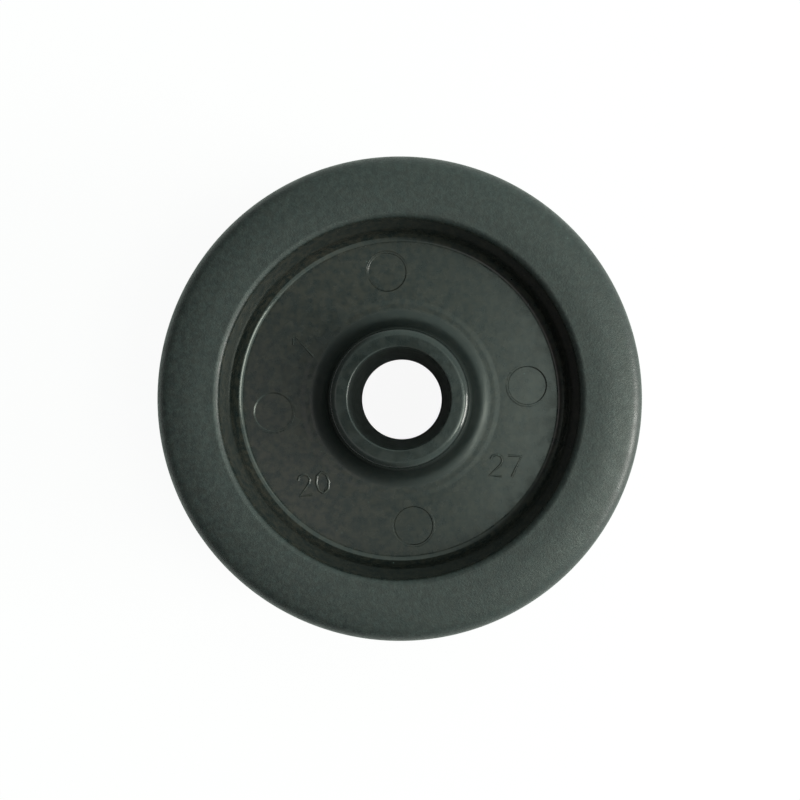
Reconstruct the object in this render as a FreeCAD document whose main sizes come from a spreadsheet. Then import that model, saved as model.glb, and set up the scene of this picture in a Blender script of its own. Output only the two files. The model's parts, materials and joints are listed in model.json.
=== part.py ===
"""Plain-bore wheel of a rowing machine, injection moulded in one piece.

The wheel lies on its side: its axle runs along +Z, the origin is in the middle of the bore,
and the side that carries the ejector marks looks up.
"""

import FreeCAD, Part
import os

import Sketcher

# Driving dimensions in millimetres and degrees, one row of the sheet each: alias, value, meaning.
SIZES = [
    ("wheel_diameter", 50.0, "over the crown of the tread, at the parting line"),
    ("wheel_width", 18.0, "across the two rim faces"),
    ("rim_wall", 6.55, "radial thickness of the rim at its face"),
    ("web_thickness", 6.4, "disc between the rim and the hub"),
    ("hub_diameter", 13.8, "outside of the hub at its face"),
    ("hub_length", 22.0, "across the two hub faces, which run against the bracket"),
    ("axle_diameter", 10.0, "axle that the wheel turns on"),
    ("axle_clearance", 0.1, "bore diameter over axle diameter"),
    ("recess_draft", 5.0, "draft of the rim's inner walls, in degrees"),
    ("hub_draft", 7.0, "draft of the hub's outer walls, in degrees"),
    ("tread_draft", 0.75, "draft of the tread each way from the parting line, in degrees"),
    ("rim_outer_rounding", 1.8, "between rim face and tread"),
    ("rim_inner_rounding", 0.7, "between rim face and recess wall"),
    ("rim_fillet", 1.0, "between recess wall and web"),
    ("hub_rounding", 0.8, "between hub face and hub wall"),
    ("hub_fillet", 2.2, "between hub wall and pad"),
    ("bore_chamfer", 0.3, "mouth of the bore, at 45 degrees"),
    ("pad_width", 3.9, "raised ring of web around the hub, from the hub's face diameter"),
    ("pad_rise", 0.05, "height of that ring over the web"),
    ("pad_slope", 0.5, "width of the slope that ends the ring"),
    ("ejector_margin", 0.9, "flat web on either side of an ejector mark, towards hub and rim"),
    ("ejector_depth", 0.12, "depth of an ejector mark"),
    ("ejector_count", 4, "marks, evenly spaced round the web"),
    ("ejector_turn", 6.0, "angle of the first mark from +X, in degrees"),
]

# Sizes that follow from the driving ones, as expressions on the sheet.
BORE_RADIUS = "((sizes.axle_diameter + sizes.axle_clearance) / 2)"
CROWN_RADIUS = "sizes.wheel_diameter / 2"
RIM_FACE = "sizes.wheel_width / 2"
HUB_FACE = "sizes.hub_length / 2"
WEB_FACE = "sizes.web_thickness / 2"
PAD_FACE = f"({WEB_FACE} + sizes.pad_rise)"
RIM_OUTER_RADIUS = f"({CROWN_RADIUS} - {RIM_FACE} * tan(sizes.tread_draft))"
RIM_INNER_RADIUS = f"({RIM_OUTER_RADIUS} - sizes.rim_wall)"
RIM_FOOT_RADIUS = f"({RIM_INNER_RADIUS} - ({RIM_FACE} - {WEB_FACE}) * tan(sizes.recess_draft))"
HUB_RADIUS = "sizes.hub_diameter / 2"
HUB_FOOT_RADIUS = f"({HUB_RADIUS} + ({HUB_FACE} - {PAD_FACE}) * tan(sizes.hub_draft))"
PAD_RADIUS = f"({HUB_RADIUS} + sizes.pad_width)"
FLAT_WEB_RADIUS = f"({RIM_FOOT_RADIUS} - sizes.rim_fillet)"
MARK_CIRCLE_RADIUS = f"({FLAT_WEB_RADIUS} + {PAD_RADIUS}) / 2"
MARK_DIAMETER = f"({FLAT_WEB_RADIUS} - {PAD_RADIUS} - 2 * sizes.ejector_margin)"

# Corners of the upper half of the section, from the bore outwards: name, radius, height.
SECTION = [
    ("bore_end", BORE_RADIUS, f"({HUB_FACE} - sizes.bore_chamfer)"),
    ("bore_mouth", f"({BORE_RADIUS} + sizes.bore_chamfer)", HUB_FACE),
    ("hub_edge", HUB_RADIUS, HUB_FACE),
    ("hub_foot", HUB_FOOT_RADIUS, PAD_FACE),
    ("pad_edge", f"({PAD_RADIUS} - sizes.pad_slope)", PAD_FACE),
    ("pad_foot", PAD_RADIUS, WEB_FACE),
    ("rim_foot", RIM_FOOT_RADIUS, WEB_FACE),
    ("rim_inner_edge", RIM_INNER_RADIUS, RIM_FACE),
    ("rim_outer_edge", RIM_OUTER_RADIUS, RIM_FACE),
]

# Corners that are rounded on both sides of the web: corner, and the size of its arc.
ROUNDED = [
    ("hub_foot", "hub_fillet"),
    ("rim_foot", "rim_fillet"),
    ("rim_outer_edge", "rim_outer_rounding"),
    ("rim_inner_edge", "rim_inner_rounding"),
    ("hub_edge", "hub_rounding"),
]

FULL_TURN = 360

# A sketch's horizontal axis, whose start is the sketch's origin, and the points of a line or circle.
HORIZONTAL_AXIS = -1
START, END, CENTRE = 1, 2, 3

# Distance within which an edge counts as lying at a computed place.
MATCH = 1e-4


def make_sheet(doc):
    """Makes the spreadsheet of driving dimensions."""
    sheet = doc.addObject("Spreadsheet::Sheet", "sizes")
    for row, (alias, value, meaning) in enumerate(SIZES, start=1):
        sheet.set(f"A{row}", alias)
        sheet.set(f"B{row}", str(value))
        sheet.setAlias(f"B{row}", alias)
        sheet.set(f"C{row}", meaning)
    doc.recompute()
    return sheet


def measure(item, expression):
    """Works out an expression on the sheet, in millimetres."""
    return float(item.evalExpression(expression))


def new_sketch(body, name, role):
    """Adds an empty sketch on the body's own origin plane of that role."""
    sketch = body.newObject("Sketcher::SketchObject", name)
    plane = next(f for f in body.Origin.OriginFeatures if f.Role == role)
    sketch.AttachmentSupport = [(plane, "")]
    sketch.MapMode = "FlatFace"
    return sketch


def drive(sketch, constraint, name, expression):
    """Adds a constraint to a sketch and binds its value to an expression on the sheet."""
    index = sketch.addConstraint(constraint)
    sketch.renameConstraint(index, name)
    sketch.setExpression(f"Constraints.{name}", expression)


def hold(sketch, kind, name, expression, geometry, point):
    """Holds a sketch point at a driven distance from the sketch's origin, along X or Y."""
    value = measure(sketch, expression)
    constraint = Sketcher.Constraint(kind, HORIZONTAL_AXIS, START, geometry, point, value)
    drive(sketch, constraint, name, expression)


def draw_section(body):
    """Draws the wheel's closed section: driven upper corners, the crown, and the corners' mirror."""
    sketch = new_sketch(body, "wheel_section", "XZ_Plane")
    upper = [(measure(sketch, radius), measure(sketch, height)) for _, radius, height in SECTION]
    crown = (measure(sketch, CROWN_RADIUS), 0.0)
    lower = [(radius, -height) for radius, height in reversed(upper)]
    corners = [FreeCAD.Vector(radius, height, 0) for radius, height in [*upper, crown, *lower]]
    count = len(corners)
    for start, end in zip(corners, corners[1:] + corners[:1]):
        sketch.addGeometry(Part.LineSegment(start, end))
    for line in range(count):
        sketch.addConstraint(Sketcher.Constraint("Coincident", line, END, (line + 1) % count, START))
    for line, (name, radius, height) in enumerate(SECTION):
        hold(sketch, "DistanceX", f"{name}_radius", radius, line, START)
        hold(sketch, "DistanceY", f"{name}_height", height, line, START)
        mirror = count - 1 - line
        sketch.addConstraint(Sketcher.Constraint("Symmetric", line, START, mirror, START, HORIZONTAL_AXIS))
    crown_line = len(SECTION)
    hold(sketch, "DistanceX", "crown_radius", CROWN_RADIUS, crown_line, START)
    sketch.addConstraint(Sketcher.Constraint("PointOnObject", crown_line, START, HORIZONTAL_AXIS))
    return sketch


def turn_section(body):
    """Turns the section about the axle into the sharp-edged wheel."""
    section = draw_section(body)
    body.Document.recompute()
    turned = body.newObject("PartDesign::Revolution", "turned_section")
    turned.Profile = section
    turned.ReferenceAxis = (section, ["V_Axis"])
    turned.Angle = FULL_TURN
    body.Document.recompute()


def circles_at(shape, radius, heights):
    """Names a shape's full circles of that radius that lie at one of the heights."""
    names = []
    for number, edge in enumerate(shape.Edges, start=1):
        if not edge.Closed or abs(edge.Curve.Radius - radius) > MATCH:
            continue
        if any(abs(edge.Curve.Center.z - height) < MATCH for height in heights):
            names.append(f"Edge{number}")
    return names


def round_corner(body, corner, size):
    """Rounds one corner of the section, on both sides of the web."""
    base = body.Tip
    radius, height = next((measure(base, r), measure(base, h)) for name, r, h in SECTION if name == corner)
    fillet = body.newObject("PartDesign::Fillet", size)
    fillet.Base = (base, circles_at(base.Shape, radius, (height, -height)))
    fillet.setExpression("Radius", f"sizes.{size}")
    body.Document.recompute()


def press_ejector_marks(body):
    """Presses the shallow round marks of the ejector pins into the front of the web."""
    sketch = new_sketch(body, "ejector_mark", "XY_Plane")
    sketch.setExpression("AttachmentOffset.Base.z", WEB_FACE)
    sketch.setExpression("AttachmentOffset.Rotation.Angle", "sizes.ejector_turn")
    centre = FreeCAD.Vector(measure(sketch, MARK_CIRCLE_RADIUS), 0, 0)
    diameter = measure(sketch, MARK_DIAMETER)
    sketch.addGeometry(Part.Circle(centre, FreeCAD.Vector(0, 0, 1), diameter / 2))
    sketch.addConstraint(Sketcher.Constraint("PointOnObject", 0, CENTRE, HORIZONTAL_AXIS))
    hold(sketch, "DistanceX", "mark_circle_radius", MARK_CIRCLE_RADIUS, 0, CENTRE)
    drive(sketch, Sketcher.Constraint("Diameter", 0, diameter), "mark_diameter", MARK_DIAMETER)
    body.Document.recompute()

    before = body.Shape.Volume
    pocket = body.newObject("PartDesign::Pocket", "ejector_pocket")
    pocket.Profile = sketch
    pocket.setExpression("Length", "sizes.ejector_depth")
    body.Document.recompute()

    pattern = body.newObject("PartDesign::PolarPattern", "ejector_marks")
    pattern.Originals = [pocket]
    pattern.Axis = (sketch, ["N_Axis"])
    pattern.Angle = FULL_TURN
    pattern.setExpression("Occurrences", "sizes.ejector_count")
    body.Tip = pattern
    body.Document.recompute()
    if body.Shape.Volume >= before:
        raise RuntimeError("the ejector marks cut nothing")


def make_wheel(doc):
    """Makes the moulding: a turned section with rounded corners and the ejector marks."""
    body = doc.addObject("PartDesign::Body", "wheel")
    body.Label = "wheel"
    turn_section(body)
    for corner, size in ROUNDED:
        round_corner(body, corner, size)
    press_ejector_marks(body)
    return body


def check(doc, bodies):
    """Stops the build if an object failed or a body is not one sound solid."""
    for item in doc.Objects:
        if {"Invalid", "Error"} & set(item.State):
            raise RuntimeError(f"{item.Name} failed: {item.State}")
    for body in bodies:
        if body.Shape.isNull() or not body.Shape.isValid() or len(body.Shape.Solids) != 1:
            raise RuntimeError(f"{body.Label} is not one sound solid")


def main():
    """Builds the document and writes each body to its own file."""
    doc = FreeCAD.newDocument("rowing_machine_wheel")
    make_sheet(doc)
    bodies = [make_wheel(doc)]
    doc.recompute()
    check(doc, bodies)
    os.makedirs("parts", exist_ok=True)
    for body in bodies:
        body.Shape.exportStep(f"parts/{body.Label}.step")
        print(f"{body.Label}: {body.Shape.Volume:.1f} cubic mm, {len(body.Shape.Faces)} faces")


main()
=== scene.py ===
"""Looks of a one-piece moulded plastic wheel that lies on its hub, seen from straight above."""

import json
import logging
import math
from dataclasses import dataclass
from enum import Enum
from typing import Any

import bpy
from bpy.types import Material, Mesh, Node, NodeOutputs, NodeSocket, NodeTree, Object
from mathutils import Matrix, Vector


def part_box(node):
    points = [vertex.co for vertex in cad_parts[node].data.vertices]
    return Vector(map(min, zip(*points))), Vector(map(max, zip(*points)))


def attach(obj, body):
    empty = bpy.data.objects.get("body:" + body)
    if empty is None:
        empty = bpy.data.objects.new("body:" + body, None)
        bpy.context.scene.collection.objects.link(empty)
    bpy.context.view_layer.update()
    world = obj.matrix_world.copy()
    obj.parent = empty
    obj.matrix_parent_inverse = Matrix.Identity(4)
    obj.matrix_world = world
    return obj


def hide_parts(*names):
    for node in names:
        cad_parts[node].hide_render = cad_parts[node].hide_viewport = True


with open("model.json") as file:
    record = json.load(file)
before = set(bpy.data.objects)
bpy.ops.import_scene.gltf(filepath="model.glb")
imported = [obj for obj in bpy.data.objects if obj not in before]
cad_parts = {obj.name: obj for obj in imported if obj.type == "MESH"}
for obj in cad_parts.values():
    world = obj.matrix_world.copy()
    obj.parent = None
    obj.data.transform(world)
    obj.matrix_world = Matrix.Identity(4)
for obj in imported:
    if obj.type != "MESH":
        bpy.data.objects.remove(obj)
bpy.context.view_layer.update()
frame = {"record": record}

MM = 0.001
WHITE = "#ffffff"
NODE = "wheel"
BODY = "root"
LOG = logging.getLogger("wheel")

# Kind of a node tree's input for each type of value.
SOCKETS: dict[type, str] = {
    int: "NodeSocketInt",
    float: "NodeSocketFloat",
    Object: "NodeSocketObject",
    Material: "NodeSocketMaterial",
}


class Side(Enum):
    """Way that a face of the wheel looks along the axle."""

    FRONT = 1
    BACK = -1


class Join(Enum):
    """What becomes of a shape that meets the moulding."""

    PRESSED_IN = "DIFFERENCE"
    RAISED = "UNION"


def linear(code: str) -> tuple[float, float, float, float]:
    """Turns an sRGB hex colour into a linear one.

    Args:
        code: Six hex digits after a hash sign.

    Returns:
        Linear red, green, blue and an alpha of 1.
    """
    parts = [int(code[i:i + 2], 16) / 255 for i in (1, 3, 5)]
    light = [c / 12.92 if c <= 0.04045 else ((c + 0.055) / 1.055) ** 2.4 for c in parts]
    return (*light, 1.0)


def add_node(tree: NodeTree, kind: str, inputs: dict[Any, Any] | None = None, **settings: Any) -> Node:
    """Adds a node with its settings, values and links.

    Args:
        tree: Tree of a material, the world or a modifier.
        kind: Blender's name for the type of node.
        inputs: Input name or index, to a value or to the output that feeds it.
        settings: Properties of the node itself.

    Returns:
        The new node.
    """
    node = tree.nodes.new(kind)
    for name, value in settings.items():
        setattr(node, name, value)
    for key, value in (inputs or {}).items():
        if isinstance(value, NodeSocket):
            tree.links.new(value, node.inputs[key])
        else:
            node.inputs[key].default_value = value
    return node


def add_object(name: str, data: Any) -> Object:
    """Puts new data into the scene as an object at the origin.

    Args:
        name: Name of the object.
        data: Mesh, lamp or camera that it shows.

    Returns:
        The new object.
    """
    item = bpy.data.objects.new(name, data)
    bpy.context.scene.collection.objects.link(item)
    return item


@dataclass(frozen=True)
class Corner:
    """A corner of the wheel's section in millimetres, and the arc that rounds it."""

    radius: float
    height: float
    rounding: float = 0.0


@dataclass(frozen=True)
class Section:
    """Half section of the wheel, in millimetres and degrees."""

    wheel_diameter: float
    hub_length: float
    bore_diameter: float
    wheel_width: float = 18.0
    rim_wall: float = 6.55
    web_thickness: float = 6.4
    hub_diameter: float = 13.8
    recess_draft: float = 5.0
    hub_draft: float = 7.0
    tread_draft: float = 0.75
    rim_outer_rounding: float = 1.8
    rim_crown: float = 0.3
    rim_crown_rounding: float = 15.0
    rim_inner_rounding: float = 0.7
    rim_fillet: float = 1.0
    hub_rounding: float = 0.8
    hub_fillet: float = 2.2
    bore_rounding: float = 0.15
    pad_width: float = 3.9
    pad_rise: float = 0.02
    pad_slope: float = 0.5
    pad_rounding: float = 0.5
    seam_width: float = 0.3
    seam_rise: float = 0.03
    arc_step: float = 6.0
    fewest_steps: int = 4
    arc_margin: float = 0.08

    @property
    def web_face(self) -> float:
        """Height of the web's front over the middle of the wheel."""
        return self.web_thickness / 2

    @property
    def rim_inner_radius(self) -> float:
        """Inside of the rim at its face, before rounding."""
        draft = math.tan(math.radians(self.tread_draft))
        return (self.wheel_diameter - self.wheel_width * draft) / 2 - self.rim_wall

    @property
    def flat_web(self) -> tuple[float, float]:
        """Radii between which the web is flat.

        Returns:
            The foot of the pad, and a radius just inside the rim's fillet.
        """
        drop = (self.wheel_width - self.web_thickness) / 2
        foot = self.rim_inner_radius - drop * math.tan(math.radians(self.recess_draft))
        return self.hub_diameter / 2 + self.pad_width, foot - self.rim_fillet

    @property
    def pad_face(self) -> float:
        """Height of the pad's front over the middle of the wheel."""
        return self.web_face + self.pad_rise

    @property
    def hub_corner(self) -> Corner:
        """Corner between the drafted hub and the pad."""
        spread = (self.hub_length / 2 - self.pad_face) * math.tan(math.radians(self.hub_draft))
        return Corner(self.hub_diameter / 2 + spread, self.pad_face, self.hub_fillet)

    @property
    def hub_foot(self) -> float:
        """Radius at which the hub's fillet runs out on the pad."""
        turn = math.pi / 2 - math.radians(self.hub_draft)
        return self.hub_corner.radius + self.hub_fillet * math.tan(turn / 2)

    def corners(self) -> list[Corner]:
        """Lists the section's corners, from the front mouth of the bore outwards and back underneath.

        Returns:
            The corners, in order round the section.
        """
        rim_face, hub_face, web = self.wheel_width / 2, self.hub_length / 2, self.web_face
        pad_foot, fillet = self.flat_web
        rim_inner = self.rim_inner_radius
        rim_edge = rim_face - self.rim_crown
        crown = self.wheel_diameter / 2
        seam = crown - self.seam_rise
        half = [
            Corner(self.bore_diameter / 2, hub_face, self.bore_rounding),
            Corner(self.hub_diameter / 2, hub_face, self.hub_rounding),
            self.hub_corner,
            Corner(pad_foot - self.pad_slope, self.pad_face, self.pad_rounding),
            Corner(pad_foot, web, self.pad_rounding),
            Corner(fillet + self.rim_fillet, web, self.rim_fillet),
            Corner(rim_inner, rim_edge, self.rim_inner_rounding),
            Corner(rim_inner + self.rim_wall / 2, rim_face, self.rim_crown_rounding),
            Corner(rim_inner + self.rim_wall, rim_edge, self.rim_outer_rounding),
            Corner(seam, self.seam_width / 2),
        ]
        front, back = ([Corner(c.radius, c.height * side.value, c.rounding) for c in half] for side in Side)
        return [*front, Corner(crown, 0.0), *reversed(back)]

    def outline(self) -> list[Vector]:
        """Walks the closed section, with an arc at each rounded corner and a point close to its ends.

        Returns:
            Points in the XZ plane, in metres.
        """
        corners = self.corners()
        points: list[Vector] = []
        for before, corner, after in zip(corners[-1:] + corners[:-1], corners, corners[1:] + corners[:1]):
            place = Vector((corner.radius, corner.height))
            if not corner.rounding:
                points.append(place)
                continue
            back = (Vector((before.radius, before.height)) - place).normalized()
            ahead = (Vector((after.radius, after.height)) - place).normalized()
            half = back.angle(ahead) / 2
            reach = corner.rounding / math.tan(half)
            centre = place + (back + ahead).normalized() * corner.rounding / math.sin(half)
            start, end = place + back * reach - centre, place + ahead * reach - centre
            turn = -start.angle_signed(end)
            steps = max(self.fewest_steps, math.ceil(math.degrees(abs(turn)) / self.arc_step))
            points.append(centre + start + back * self.arc_margin)
            for i in range(steps + 1):
                cos, sin = math.cos(turn * i / steps), math.sin(turn * i / steps)
                spoke = Vector((start.x * cos - start.y * sin, start.x * sin + start.y * cos))
                points.append(centre + spoke)
            points.append(centre + end + ahead * self.arc_margin)
        return [Vector((p.x, 0.0, p.y)) * MM for p in points]


@dataclass(frozen=True)
class EjectorMarks:
    """Shallow marks of the ejector pins in the front of the web, in millimetres and degrees."""

    circle_radius: float
    diameter: float
    web_face: float
    count: int = 4
    turn: float = 6.0
    depth: tuple[float, float] = (0.04, 0.1)
    slope: float = 0.1
    lean: float = 0.7
    burr_radius: float = 0.06
    burr_rise: float = 0.012
    steps: int = 72
    bead_steps: int = 24

    def sizes(self) -> dict[str, float]:
        """Works out the node tree's inputs for the marks.

        Returns:
            Each input's name and its value, in metres and radians.
        """
        top = self.diameter / 2 + self.slope
        return {
            "Mark Count": self.count,
            "Mark Steps": self.steps,
            "Mark Circle Radius": self.circle_radius * MM,
            "Mark Turn": math.radians(self.turn),
            "Pin Lean": math.radians(self.lean),
            "Pin Height": self.web_face * MM,
            "Pin Bottom Radius": (self.diameter / 2 - self.slope) * MM,
            "Pin Top Radius": top * MM,
            "Least Depth": self.depth[0] * MM,
            "Most Depth": self.depth[1] * MM,
            "Burr Steps": self.bead_steps,
            "Burr Height": (self.web_face + self.burr_rise - self.burr_radius) * MM,
            "Burr Radius": self.burr_radius * MM,
            "Burr Ring Radius": (top + self.burr_radius) * MM,
        }

    def spread(self, tree: NodeTree, given: NodeOutputs, shape: NodeSocket, height: NodeSocket,
               scale: Any) -> NodeSocket:
        """Sets a shape at each mark, with the small lean of the mark's own pin.

        Args:
            tree: Tree that gets the nodes.
            given: Inputs of the tree.
            shape: Geometry of one mark, about the origin.
            height: Height of the marks' centres.
            scale: Scale of each copy, as a value or an output.

        Returns:
            The copies as real geometry.
        """
        ring = add_node(tree, "GeometryNodeMeshCircle", {
            "Vertices": given["Mark Count"], "Radius": given["Mark Circle Radius"]})
        lift = add_node(tree, "ShaderNodeCombineXYZ", {"Z": height})
        turn = add_node(tree, "ShaderNodeCombineXYZ", {"Z": given["Mark Turn"]})
        turned = add_node(tree, "GeometryNodeTransform", {
            "Geometry": ring.outputs["Mesh"], "Translation": lift.outputs[0], "Rotation": turn.outputs[0]})
        most = add_node(tree, "ShaderNodeCombineXYZ", {"X": given["Pin Lean"], "Y": given["Pin Lean"]})
        least = add_node(tree, "ShaderNodeVectorMath", {
            0: most.outputs[0], "Scale": -1.0}, operation="SCALE")
        lean = add_node(tree, "FunctionNodeRandomValue", {
            0: least.outputs[0], 1: most.outputs[0], "Seed": given["Seed"]}, data_type="FLOAT_VECTOR")
        copies = add_node(tree, "GeometryNodeInstanceOnPoints", {
            "Points": turned.outputs[0], "Instance": shape, "Scale": scale, "Rotation": lean.outputs[0]})
        return add_node(tree, "GeometryNodeRealizeInstances", {"Geometry": copies.outputs[0]}).outputs[0]

    def pins(self, tree: NodeTree, given: NodeOutputs) -> NodeSocket:
        """Shapes the pins' ends: each leans a little and stands at its own depth.

        Args:
            tree: Tree that gets the nodes.
            given: Inputs of the tree.

        Returns:
            The ends of all the pins.
        """
        # An end stands a unit to either side of the web's face, so its scale along Z is the mark's depth.
        end = add_node(tree, "GeometryNodeMeshCone", {
            "Vertices": given["Mark Steps"], "Depth": 2.0,
            "Radius Bottom": given["Pin Bottom Radius"], "Radius Top": given["Pin Top Radius"]})
        sunk = add_node(tree, "GeometryNodeTransform", {
            "Geometry": end.outputs["Mesh"], "Translation": (0.0, 0.0, -1.0)})
        depth = add_node(tree, "FunctionNodeRandomValue", {
            2: given["Least Depth"], 3: given["Most Depth"], "Seed": given["Seed"]}, data_type="FLOAT")
        scale = add_node(tree, "ShaderNodeCombineXYZ", {"X": 1.0, "Y": 1.0, "Z": depth.outputs[1]})
        return self.spread(tree, given, sunk.outputs[0], given["Pin Height"], scale.outputs[0])

    def burrs(self, tree: NodeTree, given: NodeOutputs) -> NodeSocket:
        """Shapes the thin rings of plastic that crept up round the pins, highest where a pin leans.

        Args:
            tree: Tree that gets the nodes.
            given: Inputs of the tree.

        Returns:
            The rings of all the pins.
        """
        path = add_node(tree, "GeometryNodeCurvePrimitiveCircle", {
            "Resolution": given["Mark Steps"], "Radius": given["Burr Ring Radius"]})
        bead = add_node(tree, "GeometryNodeCurvePrimitiveCircle", {
            "Resolution": given["Burr Steps"], "Radius": given["Burr Radius"]})
        ring = add_node(tree, "GeometryNodeCurveToMesh", {
            "Curve": path.outputs[0], "Profile Curve": bead.outputs[0]})
        return self.spread(tree, given, ring.outputs[0], given["Burr Height"], (1.0, 1.0, 1.0))


# Strokes of the digits on a grid one unit high, with the grid's width and middle.
DIGIT_WIDTH = 0.6
DIGIT_MIDDLE = 0.5
DIGITS: dict[str, list[tuple[float, float]]] = {
    "0": [(0.3, 0.0), (0.52, 0.16), (0.6, 0.5), (0.52, 0.84), (0.3, 1.0), (0.08, 0.84), (0.0, 0.5),
          (0.08, 0.16), (0.27, 0.0)],
    "1": [(0.12, 0.76), (0.36, 1.0), (0.36, 0.0)],
    "2": [(0.02, 0.76), (0.1, 0.93), (0.3, 1.0), (0.5, 0.93), (0.58, 0.74), (0.5, 0.52), (0.0, 0.0),
          (0.6, 0.0)],
    "7": [(0.0, 1.0), (0.6, 1.0), (0.22, 0.0)],
}


@dataclass(frozen=True)
class MouldedNumber:
    """A raised number on the web, in millimetres and degrees."""

    text: str
    place: tuple[float, float]
    turn: float = 0.0
    size: float = 2.3
    pitch: float = 0.85

    def strokes(self, height: float) -> list[list[Vector]]:
        """Lays out the digits' strokes round the number's place.

        Args:
            height: Height of the strokes' middle.

        Returns:
            The points of each stroke, in metres.
        """
        cos, sin = math.cos(math.radians(self.turn)), math.sin(math.radians(self.turn))
        start = -(self.pitch * (len(self.text) - 1) + DIGIT_WIDTH) / 2
        strokes = []
        for i, digit in enumerate(self.text):
            stroke = []
            for along, up in DIGITS[digit]:
                x = (along + start + self.pitch * i) * self.size
                y = (up - DIGIT_MIDDLE) * self.size
                spot = (self.place[0] + x * cos - y * sin, self.place[1] + x * sin + y * cos, height)
                stroke.append(Vector(spot) * MM)
            strokes.append(stroke)
        return strokes


@dataclass(frozen=True)
class Numbers:
    """Plain numbers where the mould was marked."""

    web_face: float
    numbers: tuple[MouldedNumber, ...] = (
        MouldedNumber("27", (11.35, -7.25), -4.0),
        MouldedNumber("20", (-9.4, -9.2), 8.0),
        MouldedNumber("1", (-10.6, 5.6), 42.0, 3.2),
    )
    bead_radius: float = 0.2
    bead_steps: int = 24
    rise: float = 0.06

    def guide(self) -> Object:
        """Draws the strokes as chains of edges.

        Returns:
            An object that holds only those edges.
        """
        points: list[Vector] = []
        edges: list[tuple[int, int]] = []
        for number in self.numbers:
            for stroke in number.strokes(self.web_face + self.rise - self.bead_radius):
                edges += [(len(points) + i, len(points) + i + 1) for i in range(len(stroke) - 1)]
                points += stroke
        mesh = bpy.data.meshes.new("number_strokes")
        mesh.from_pydata(points, edges, [])
        return add_object("number_strokes", mesh)

    def sizes(self) -> dict[str, float]:
        """Works out the node tree's inputs for the numbers, in metres."""
        return {"Bead Steps": self.bead_steps, "Bead Radius": self.bead_radius * MM}

    def beads(self, tree: NodeTree, given: NodeOutputs) -> NodeSocket:
        """Runs a round bead along the strokes.

        Args:
            tree: Tree that gets the nodes.
            given: Inputs of the tree.

        Returns:
            The beads of all the numbers.
        """
        drawn = add_node(tree, "GeometryNodeObjectInfo", {"Object": given["Strokes"]})
        path = add_node(tree, "GeometryNodeMeshToCurve", {"Mesh": drawn.outputs["Geometry"]})
        bead = add_node(tree, "GeometryNodeCurvePrimitiveCircle", {
            "Resolution": given["Bead Steps"], "Radius": given["Bead Radius"]})
        return add_node(tree, "GeometryNodeCurveToMesh", {
            "Curve": path.outputs[0], "Profile Curve": bead.outputs[0], "Fill Caps": True}).outputs[0]


@dataclass(frozen=True)
class Zone:
    """Ring of the mould with a polish of its own, in millimetres outwards from an edge of the section."""

    begins: float
    settles: float
    roughness: float

    def beyond(self, edge: float) -> "Zone":
        """Places the zone at the radius of its edge."""
        return Zone(edge + self.begins, edge + self.settles, self.roughness)


@dataclass(frozen=True)
class Pattern:
    """Noise with features of a size in millimetres, and with levels of detail."""

    size: float
    detail: float


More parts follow.
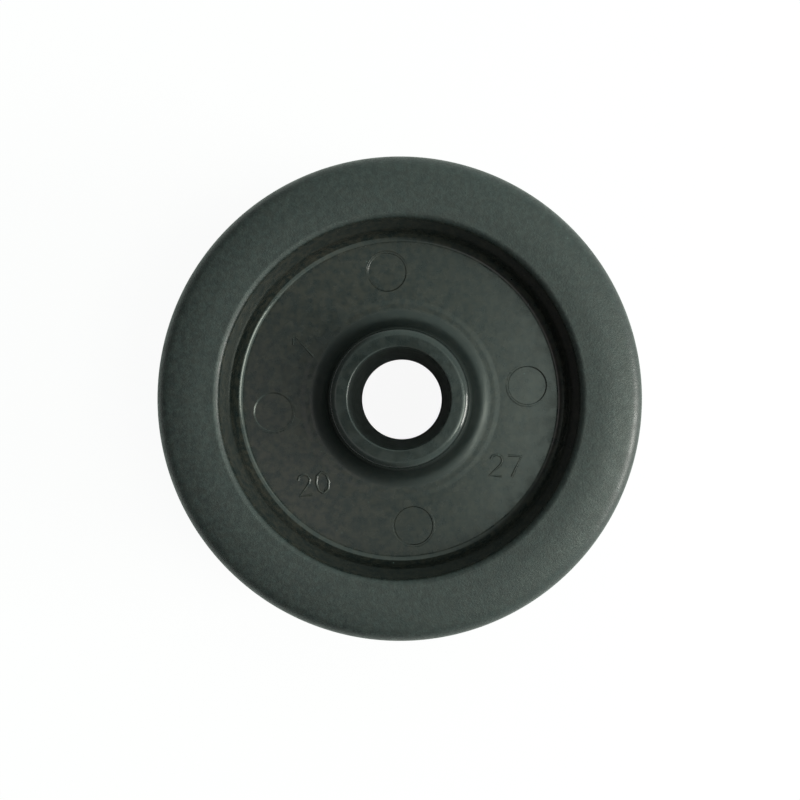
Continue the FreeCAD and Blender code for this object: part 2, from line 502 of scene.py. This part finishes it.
@dataclass(frozen=True)
class MouldedPlastic:
    """Black moulded polypropylene, a little worn and dusty, in millimetres."""

    name: str = "injection_moulded_black_polypropylene"
    colour: str = "#191e1e"
    scuffed: str = "#546360"
    dusty: str = "#453f36"
    ior: float = 1.49
    bore_roughness: float = 0.45
    hub_face: Zone = Zone(0.01, 0.1, 0.2)
    hub_flank: Zone = Zone(0.0, 0.2, 0.36)
    web: Zone = Zone(-0.4, 0.0, 0.25)
    recess_wall: Zone = Zone(0.125, 0.275, 0.08)
    rim: Zone = Zone(-0.08, 0.17, 0.44)
    grain: Pattern = Pattern(0.2, 2.0)
    grain_depth: float = 0.02
    smooth_share: float = 0.15
    flow: Pattern = Pattern(1.2, 3.0)
    flow_depth: float = 0.012
    flow_range: tuple[float, float] = (0.35, 0.65)
    cloudiness: float = 0.04
    scuff: Pattern = Pattern(0.5, 4.0)
    scuff_edge: tuple[float, float] = (0.73, 0.8)
    wear_range: tuple[float, float] = (0.35, 0.65)
    web_wear: float = 0.02
    rim_wear: tuple[float, float] = (0.04, 0.2)
    film: Pattern = Pattern(0.7, 4.0)
    film_range: tuple[float, float] = (0.3, 0.7)
    film_share: tuple[float, float] = (0.1, 0.36)

    def relief(self, tree: NodeTree, on_rim: NodeSocket, grain: NodeSocket, flow: NodeSocket) -> NodeSocket:
        """Roughens the surface in two sizes.

        Args:
            tree: Tree that gets the nodes.
            on_rim: Share of the rim's finish.
            grain: Noise of the mould's grain.
            flow: Noise of the plastic's flow.

        Returns:
            The surface's normal.
        """
        # The spark-eroded mould gives the rim a fine grain that breaks its shine up. It is drawn two pixels
        # coarse, because a finer one would not show.
        depth = add_node(tree, "ShaderNodeMapRange", {
            "Value": on_rim, "To Min": self.smooth_share * self.grain_depth * MM,
            "To Max": self.grain_depth * MM}, interpolation_type="SMOOTHSTEP")
        grained = add_node(tree, "ShaderNodeBump", {"Height": grain, "Distance": depth.outputs[0]})
        # Plastic that flowed and cooled unevenly leaves the smooth web faintly cloudy.
        return add_node(tree, "ShaderNodeBump", {
            "Height": flow, "Distance": self.flow_depth * MM, "Normal": grained.outputs[0]}).outputs[0]

    def polish(self, tree: NodeTree, radius: NodeSocket, flow: NodeSocket, zones: list[Zone]) -> NodeSocket:
        """Gives each zone of the mould its own polish.

        Args:
            tree: Tree that gets the nodes.
            radius: Distance from the axle, in millimetres.
            flow: Noise of the plastic's flow.
            zones: Zones from the bore outwards.

        Returns:
            The surface's roughness.
        """
        # The recess wall mirrors sharply, the web and the hub shine softly, and the rim is satin.
        finish: Any = self.bore_roughness
        for zone in zones:
            finish = add_node(tree, "ShaderNodeMapRange", {
                "Value": radius, "From Min": zone.begins, "From Max": zone.settles,
                "To Min": finish, "To Max": zone.roughness}, interpolation_type="SMOOTHSTEP").outputs[0]
        cloud = add_node(tree, "ShaderNodeMapRange", {
            "Value": flow, "From Min": self.flow_range[0], "From Max": self.flow_range[1],
            "To Min": -self.cloudiness, "To Max": self.cloudiness}, interpolation_type="SMOOTHSTEP")
        return add_node(tree, "ShaderNodeMath", {0: finish, 1: cloud.outputs[0]}, operation="ADD").outputs[0]

    def wear(self, tree: NodeTree, on_rim: NodeSocket, grain: NodeSocket, specks: NodeSocket) -> NodeSocket:
        """Rubs the surface pale in places.

        Args:
            tree: Tree that gets the nodes.
            on_rim: Share of the rim's finish.
            grain: Noise of the mould's grain.
            specks: Noise of the scuffs.

        Returns:
            The share of scuffed plastic.
        """
        # A few pale specks show where the wheel was rubbed, and the tips of the rim's grain are worn paler.
        rubbed = add_node(tree, "ShaderNodeMapRange", {
            "Value": specks, "From Min": self.scuff_edge[0], "From Max": self.scuff_edge[1],
        }, interpolation_type="SMOOTHSTEP")
        rim_wear = add_node(tree, "ShaderNodeMapRange", {
            "Value": specks, "From Min": self.wear_range[0], "From Max": self.wear_range[1],
            "To Min": self.rim_wear[0], "To Max": self.rim_wear[1]}, interpolation_type="SMOOTHSTEP")
        most = add_node(tree, "ShaderNodeMapRange", {
            "Value": on_rim, "To Min": self.web_wear, "To Max": rim_wear.outputs[0],
        }, interpolation_type="SMOOTHSTEP")
        tips = add_node(tree, "ShaderNodeMapRange", {
            "Value": grain, "To Max": most.outputs[0]}, interpolation_type="SMOOTHSTEP")
        return add_node(tree, "ShaderNodeMath", {
            0: rubbed.outputs[0], 1: tips.outputs[0]}, operation="MAXIMUM").outputs[0]

    def dust(self, tree: NodeTree, on_rim: NodeSocket, radius: NodeSocket, patches: NodeSocket,
             web: Zone) -> NodeSocket:
        """Lets dust settle, most of all in the recess.

        Args:
            tree: Tree that gets the nodes.
            on_rim: Share of the rim's finish.
            radius: Distance from the axle, in millimetres.
            patches: Noise of the film.
            web: Zone of the web.

        Returns:
            The share of dusty plastic.
        """
        # A patchy film of dust and old grease warms the black.
        thin, thick = self.film_share
        inside = add_node(tree, "ShaderNodeMapRange", {
            "Value": radius, "From Min": web.begins, "From Max": web.settles,
            "To Min": thin, "To Max": thick}, interpolation_type="SMOOTHSTEP")
        most = add_node(tree, "ShaderNodeMapRange", {
            "Value": on_rim, "To Min": inside.outputs[0], "To Max": thin}, interpolation_type="SMOOTHSTEP")
        return add_node(tree, "ShaderNodeMapRange", {
            "Value": patches, "From Min": self.film_range[0], "From Max": self.film_range[1],
            "To Max": most.outputs[0]}, interpolation_type="SMOOTHSTEP").outputs[0]

    def material(self, section: Section) -> Material:
        """Makes the node material.

        Args:
            section: Section of the wheel, whose edges part the mould's zones.

        Returns:
            The material, patterned in Object coordinates.
        """
        hub_face = self.hub_face.beyond(section.bore_diameter / 2)
        hub_flank = self.hub_flank.beyond(section.hub_diameter / 2)
        web = self.web.beyond(section.hub_foot)
        recess_wall = self.recess_wall.beyond(section.flat_web[1])
        rim = self.rim.beyond(section.rim_inner_radius)
        material = bpy.data.materials.new(self.name)
        material.use_nodes = True
        tree = material.node_tree
        tree.nodes.clear()
        spot = add_node(tree, "ShaderNodeTexCoord").outputs["Object"]
        place = add_node(tree, "ShaderNodeVectorMath", {0: spot, "Scale": 1 / MM}, operation="SCALE")
        level = add_node(tree, "ShaderNodeVectorMath", {
            0: place.outputs[0], 1: (1.0, 1.0, 0.0)}, operation="MULTIPLY")
        radius = add_node(tree, "ShaderNodeVectorMath", {
            0: level.outputs[0]}, operation="LENGTH").outputs["Value"]
        on_rim = add_node(tree, "ShaderNodeMapRange", {
            "Value": radius, "From Min": rim.begins, "From Max": rim.settles,
        }, interpolation_type="SMOOTHSTEP").outputs[0]
        grain, flow, specks, patches = (
            add_node(tree, "ShaderNodeTexNoise", {
                "Vector": place.outputs[0], "Scale": 1 / pattern.size, "Detail": pattern.detail}).outputs[0]
            for pattern in (self.grain, self.flow, self.scuff, self.film))
        dusted = add_node(tree, "ShaderNodeMix", {
            "Factor": self.dust(tree, on_rim, radius, patches, web),
            "A": linear(self.colour), "B": linear(self.dusty)}, data_type="RGBA")
        colour = add_node(tree, "ShaderNodeMix", {
            "Factor": self.wear(tree, on_rim, grain, specks),
            "A": dusted.outputs["Result"], "B": linear(self.scuffed)}, data_type="RGBA")
        shader = add_node(tree, "ShaderNodeBsdfPrincipled", {
            "Base Color": colour.outputs["Result"], "IOR": self.ior,
            "Roughness": self.polish(tree, radius, flow, [hub_face, hub_flank, web, recess_wall, rim]),
            "Normal": self.relief(tree, on_rim, grain, flow)})
        add_node(tree, "ShaderNodeOutputMaterial", {"Surface": shader.outputs["BSDF"]})
        return material


@dataclass(frozen=True)
class Wheel:
    """The moulding: a turned section, marks pressed into it and numbers raised on it."""

    section: Section
    finish: MouldedPlastic
    steps: int = 320
    seed: int = 16
    mark_margin: float = 0.9
    sharp_angle: float = 20.0
    weld: float = 1e-4

    def turn(self, tree: NodeTree, given: NodeOutputs) -> NodeSocket:
        """Turns an outline of points about Z.

        Args:
            tree: Tree that gets the nodes.
            given: Inputs of the tree, with the outline's points in order.

        Returns:
            The closed mesh.
        """
        outline, steps = given["Geometry"], given["Steps"]
        count = add_node(tree, "GeometryNodeAttributeDomainSize", {"Geometry": outline},
                         component="MESH").outputs["Point Count"]
        across = add_node(tree, "ShaderNodeMath", {0: steps, 1: 1.0}, operation="ADD").outputs[0]
        along = add_node(tree, "ShaderNodeMath", {0: count, 1: 1.0}, operation="ADD").outputs[0]
        grid = add_node(tree, "GeometryNodeMeshGrid", {"Vertices X": across, "Vertices Y": along})
        index = add_node(tree, "GeometryNodeInputIndex").outputs[0]
        column = add_node(tree, "ShaderNodeMath", {0: index, 1: along}, operation="DIVIDE").outputs[0]
        column = add_node(tree, "ShaderNodeMath", {0: column}, operation="FLOOR").outputs[0]
        row = add_node(tree, "ShaderNodeMath", {0: index, 1: along}, operation="FLOORED_MODULO").outputs[0]
        row = add_node(tree, "ShaderNodeMath", {0: row, 1: count}, operation="FLOORED_MODULO").outputs[0]
        where = add_node(tree, "GeometryNodeInputPosition").outputs[0]
        spot = add_node(tree, "GeometryNodeSampleIndex", {
            "Geometry": outline, "Value": where, "Index": row}, data_type="FLOAT_VECTOR").outputs[0]
        share = add_node(tree, "ShaderNodeMath", {0: column, 1: steps}, operation="DIVIDE").outputs[0]
        angle = add_node(tree, "ShaderNodeMath", {0: share, 1: math.tau}, operation="MULTIPLY").outputs[0]
        spun = add_node(tree, "ShaderNodeVectorRotate", {
            "Vector": spot, "Angle": angle}, rotation_type="Z_AXIS")
        placed = add_node(tree, "GeometryNodeSetPosition", {
            "Geometry": grid.outputs["Mesh"], "Position": spun.outputs[0]})
        return add_node(tree, "GeometryNodeMergeByDistance", {
            "Geometry": placed.outputs[0], "Distance": given["Weld"]}).outputs[0]

    def combine(self, tree: NodeTree, body: NodeSocket, shape: NodeSocket, how: Join) -> NodeSocket:
        """Presses a shape into the moulding or raises it on the moulding.

        Args:
            tree: Tree that gets the node.
            body: Geometry of the moulding.
            shape: Geometry that meets it.
            how: What becomes of the shape.

        Returns:
            The new moulding.
        """
        node = add_node(tree, "GeometryNodeMeshBoolean", operation=how.value, solver="MANIFOLD")
        tree.links.new(shape, node.inputs["Mesh 2"])
        tree.links.new(body, node.inputs["Mesh 1" if how is Join.PRESSED_IN else "Mesh 2"])
        return node.outputs["Mesh"]

    def tree(self, inputs: dict[str, Any], marks: EjectorMarks, numbers: Numbers) -> NodeTree:
        """Builds the node tree of the moulding.

        Args:
            inputs: Name of each input, and a value of its type.
            marks: Marks to press into the web.
            numbers: Numbers to raise on the web.

        Returns:
            The tree, for a modifier on the outline's points.
        """
        tree = bpy.data.node_groups.new("moulded_wheel", "GeometryNodeTree")
        face = tree.interface
        face.new_socket("Geometry", in_out="INPUT", socket_type="NodeSocketGeometry")
        for name, value in inputs.items():
            face.new_socket(name, in_out="INPUT", socket_type=SOCKETS[type(value)])
        face.new_socket("Geometry", in_out="OUTPUT", socket_type="NodeSocketGeometry")
        given = add_node(tree, "NodeGroupInput").outputs
        body = self.turn(tree, given)
        body = self.combine(tree, body, marks.pins(tree, given), Join.PRESSED_IN)
        body = self.combine(tree, body, marks.burrs(tree, given), Join.RAISED)
        body = self.combine(tree, body, numbers.beads(tree, given), Join.RAISED)
        real = add_node(tree, "GeometryNodeRealizeInstances", {"Geometry": body})
        dressed = add_node(tree, "GeometryNodeSetMaterial", {
            "Geometry": real.outputs[0], "Material": given["Finish"]})
        add_node(tree, "NodeGroupOutput", {"Geometry": dressed.outputs[0]})
        return tree

    def build(self) -> Object:
        """Shapes the moulding, dresses it, and puts it in the CAD wheel's place.

        Returns:
            The moulding as a plain mesh.
        """
        outline = bpy.data.meshes.new("wheel_outline")
        outline.from_pydata(self.section.outline(), [], [])
        piece = add_object("wheel_moulding", outline)
        inner, outer = self.section.flat_web
        marks = EjectorMarks(
            circle_radius=(inner + outer) / 2,
            diameter=outer - inner - 2 * self.mark_margin,
            web_face=self.section.web_face)
        numbers = Numbers(self.section.web_face)
        guide = numbers.guide()
        inputs = {
            "Steps": self.steps,
            "Weld": self.weld * MM,
            "Seed": self.seed,
            "Strokes": guide,
            "Finish": self.finish.material(self.section),
            **marks.sizes(),
            **numbers.sizes(),
        }
        modifier = piece.modifiers.new("moulded_wheel", "NODES")
        modifier.node_group = self.tree(inputs, marks, numbers)
        for socket in modifier.node_group.interface.items_tree:
            if socket.name in inputs:
                modifier[socket.identifier] = inputs[socket.name]
        shaped = piece.evaluated_get(bpy.context.evaluated_depsgraph_get())
        solid: Mesh = bpy.data.meshes.new_from_object(shaped)
        piece.modifiers.clear()
        piece.data = solid
        bpy.data.objects.remove(guide)
        solid.shade_smooth()
        solid.set_sharp_from_angle(angle=math.radians(self.sharp_angle))
        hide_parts(NODE)
        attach(piece, BODY)
        return piece


@dataclass(frozen=True)
class Lamp:
    """Soft rectangular lamp that faces the wheel, in degrees and millimetres."""

    name: str
    azimuth: float
    elevation: float
    width: float
    height: float
    radiance: float
    colour: str = WHITE
    distance: float = 500.0

    def hang(self) -> Object:
        """Adds the lamp to the scene.

        Returns:
            The lamp, unseen by the camera.
        """
        data = bpy.data.lights.new(self.name, "AREA")
        data.shape = "RECTANGLE"
        data.size, data.size_y = self.width * MM, self.height * MM
        data.energy = self.radiance * math.pi * data.size * data.size_y
        data.color = linear(self.colour)[:3]
        azimuth, elevation = math.radians(self.azimuth), math.radians(self.elevation)
        away = Vector((math.cos(azimuth) * math.cos(elevation), math.sin(azimuth) * math.cos(elevation),
                       math.sin(elevation)))
        lamp = add_object(self.name, data)
        lamp.location = away * self.distance * MM
        lamp.rotation_euler = away.to_track_quat("Z", "Y").to_euler()
        lamp.visible_camera = False
        return lamp


@dataclass(frozen=True)
class Studio:
    """Pale floor, soft light from the right, and the camera above the wheel."""

    camera_height: float = 75.0
    focal_pixels: float = 746.0
    camera_offset: tuple[float, float] = (1.16, -0.4)
    centre_pixel: tuple[float, float] = (399.5, 398.6)
    image_pixels: int = 800
    sensor_width: float = 36.0
    clip_start: float = 1.0
    floor_reach: float = 2000.0
    floor_paint: str = "#f0f0f0"
    floor_white: float = 0.93
    shaded_floor: tuple[float, float] = (90.0, 250.0)
    room_colours: tuple[str, str] = ("#504c4c", "#e6fff4")
    room_toward: tuple[float, float, float] = (0.966, 0.26, 0.0)
    room_edge: tuple[float, float] = (-0.4, 0.2)
    room_strength: float = 1.2
    shade: float = 0.02
    shade_toward: tuple[float, float, float] = (-0.06, 0.026, 0.998)
    shade_edge: tuple[float, float] = (0.987, 0.9965)
    lamps: tuple[Lamp, ...] = (
        Lamp("window", -10.0, 21.0, 220.0, 100.0, 28.0, "#fffdf6"),
        Lamp("skylight", -15.0, 56.0, 190.0, 150.0, 7.8, "#f6fff0"),
        Lamp("ceiling", -5.0, 72.0, 240.0, 170.0, 1.2, "#f0fff2"),
        Lamp("gap", 205.0, 74.0, 260.0, 120.0, 0.55, "#fff6f6"),
    )

    def camera(self, rim_face: float) -> Object:
        """Hangs the camera over the wheel.

        Args:
            rim_face: Height of the rim's face, in millimetres.

        Returns:
            The camera.
        """
        data = bpy.data.cameras.new("camera")
        data.sensor_width = self.sensor_width
        data.lens = data.sensor_width * self.focal_pixels / self.image_pixels
        data.clip_start = self.clip_start * MM
        offset = Vector(self.camera_offset)
        shift = self.focal_pixels * offset / self.camera_height
        data.shift_x = (self.image_pixels / 2 - self.centre_pixel[0] - shift.x) / self.image_pixels
        data.shift_y = (self.centre_pixel[1] - self.image_pixels / 2 - shift.y) / self.image_pixels
        camera = add_object("camera", data)
        camera.location = (offset.x * MM, offset.y * MM, (rim_face + self.camera_height) * MM)
        bpy.context.scene.camera = camera
        return camera

    def floor(self, level: float) -> Object:
        """Lays the floor under the hub.

        Args:
            level: Height of the floor, in metres.

        Returns:
            The floor.
        """
        half = self.floor_reach * MM
        corners = [(-half, -half, level), (half, -half, level), (half, half, level), (-half, half, level)]
        mesh = bpy.data.meshes.new("floor")
        mesh.from_pydata(corners, [], [(0, 1, 2, 3)])
        material = bpy.data.materials.new("white_floor")
        material.use_nodes = True
        tree = material.node_tree
        tree.nodes.clear()
        paint = add_node(tree, "ShaderNodeBsdfDiffuse", {"Color": linear(self.floor_paint)})
        glow = add_node(tree, "ShaderNodeEmission", {"Color": linear(WHITE), "Strength": 1.0})
        ray = add_node(tree, "ShaderNodeLightPath").outputs
        spot = add_node(tree, "ShaderNodeTexCoord").outputs["Object"]
        away = add_node(tree, "ShaderNodeVectorMath", {0: spot}, operation="LENGTH").outputs["Value"]
        # The camera sees white with a trace of the wheel's shadow. Reflections see the white too, but
        # not close round the wheel.
        clear = add_node(tree, "ShaderNodeMapRange", {
            "Value": away, "From Min": self.shaded_floor[0] * MM, "From Max": self.shaded_floor[1] * MM})
        far = add_node(tree, "ShaderNodeMath", {
            0: ray["Is Glossy Ray"], 1: clear.outputs[0]}, operation="MULTIPLY")
        seen = add_node(tree, "ShaderNodeMath", {
            0: ray["Is Camera Ray"], 1: far.outputs[0]}, operation="MAXIMUM")
        share = add_node(tree, "ShaderNodeMath", {
            0: seen.outputs[0], 1: self.floor_white}, operation="MULTIPLY")
        mixed = add_node(tree, "ShaderNodeMixShader", {
            0: share.outputs[0], 1: paint.outputs[0], 2: glow.outputs[0]})
        add_node(tree, "ShaderNodeOutputMaterial", {"Surface": mixed.outputs[0]})
        mesh.materials.append(material)
        floor = add_object("floor", mesh)
        return floor

    def light(self) -> None:
        """Sets the room's light and hangs the lamps."""
        world = bpy.data.worlds.new("room")
        world.use_nodes = True
        tree = world.node_tree
        tree.nodes.clear()
        ray = add_node(tree, "ShaderNodeLightPath")
        # The room is bright on the right, and the camera hides the sky straight above.
        way = add_node(tree, "ShaderNodeTexCoord").outputs["Generated"]
        across = add_node(tree, "ShaderNodeVectorMath", {
            0: way, 1: self.room_toward}, operation="DOT_PRODUCT")
        side = add_node(tree, "ShaderNodeMapRange", {
            "Value": across.outputs["Value"], "From Min": self.room_edge[0], "From Max": self.room_edge[1],
        }, interpolation_type="SMOOTHSTEP")
        colour = add_node(tree, "ShaderNodeMix", {
            "Factor": side.outputs[0],
            "A": linear(self.room_colours[0]), "B": linear(self.room_colours[1])}, data_type="RGBA")
        overhead = add_node(tree, "ShaderNodeVectorMath", {
            0: way, 1: self.shade_toward}, operation="DOT_PRODUCT")
        strength = add_node(tree, "ShaderNodeMapRange", {
            "Value": overhead.outputs["Value"],
            "From Min": self.shade_edge[0], "From Max": self.shade_edge[1],
            "To Min": self.room_strength, "To Max": self.shade}, interpolation_type="SMOOTHSTEP")
        room = add_node(tree, "ShaderNodeBackground", {
            "Color": colour.outputs["Result"], "Strength": strength.outputs[0]})
        white = add_node(tree, "ShaderNodeBackground", {"Color": linear(WHITE), "Strength": 1.0})
        mixed = add_node(tree, "ShaderNodeMixShader", {
            0: ray.outputs["Is Camera Ray"], 1: room.outputs[0], 2: white.outputs[0]})
        add_node(tree, "ShaderNodeOutputWorld", {"Surface": mixed.outputs[0]})
        bpy.context.scene.world = world
        for lamp in self.lamps:
            lamp.hang()


def main() -> None:
    """Builds the wheel, its floor, light and camera."""
    logging.basicConfig(level=logging.INFO)
    bpy.context.scene.view_settings.view_transform = "Standard"
    low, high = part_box(NODE)
    bore = next(m for m in frame["record"]["mounts"] if m["name"] == "axle_bore")
    section = Section(
        wheel_diameter=(high.x - low.x) / MM,
        hub_length=(high.z - low.z) / MM,
        bore_diameter=2 * bore["dims"]["r_mm"])
    piece = Wheel(section, MouldedPlastic()).build()
    LOG.info("%s: %d faces", piece.name, len(piece.data.polygons))
    studio = Studio()
    studio.camera(section.wheel_width / 2)
    studio.floor(low.z)
    studio.light()


if __name__ == "__main__":
    main()
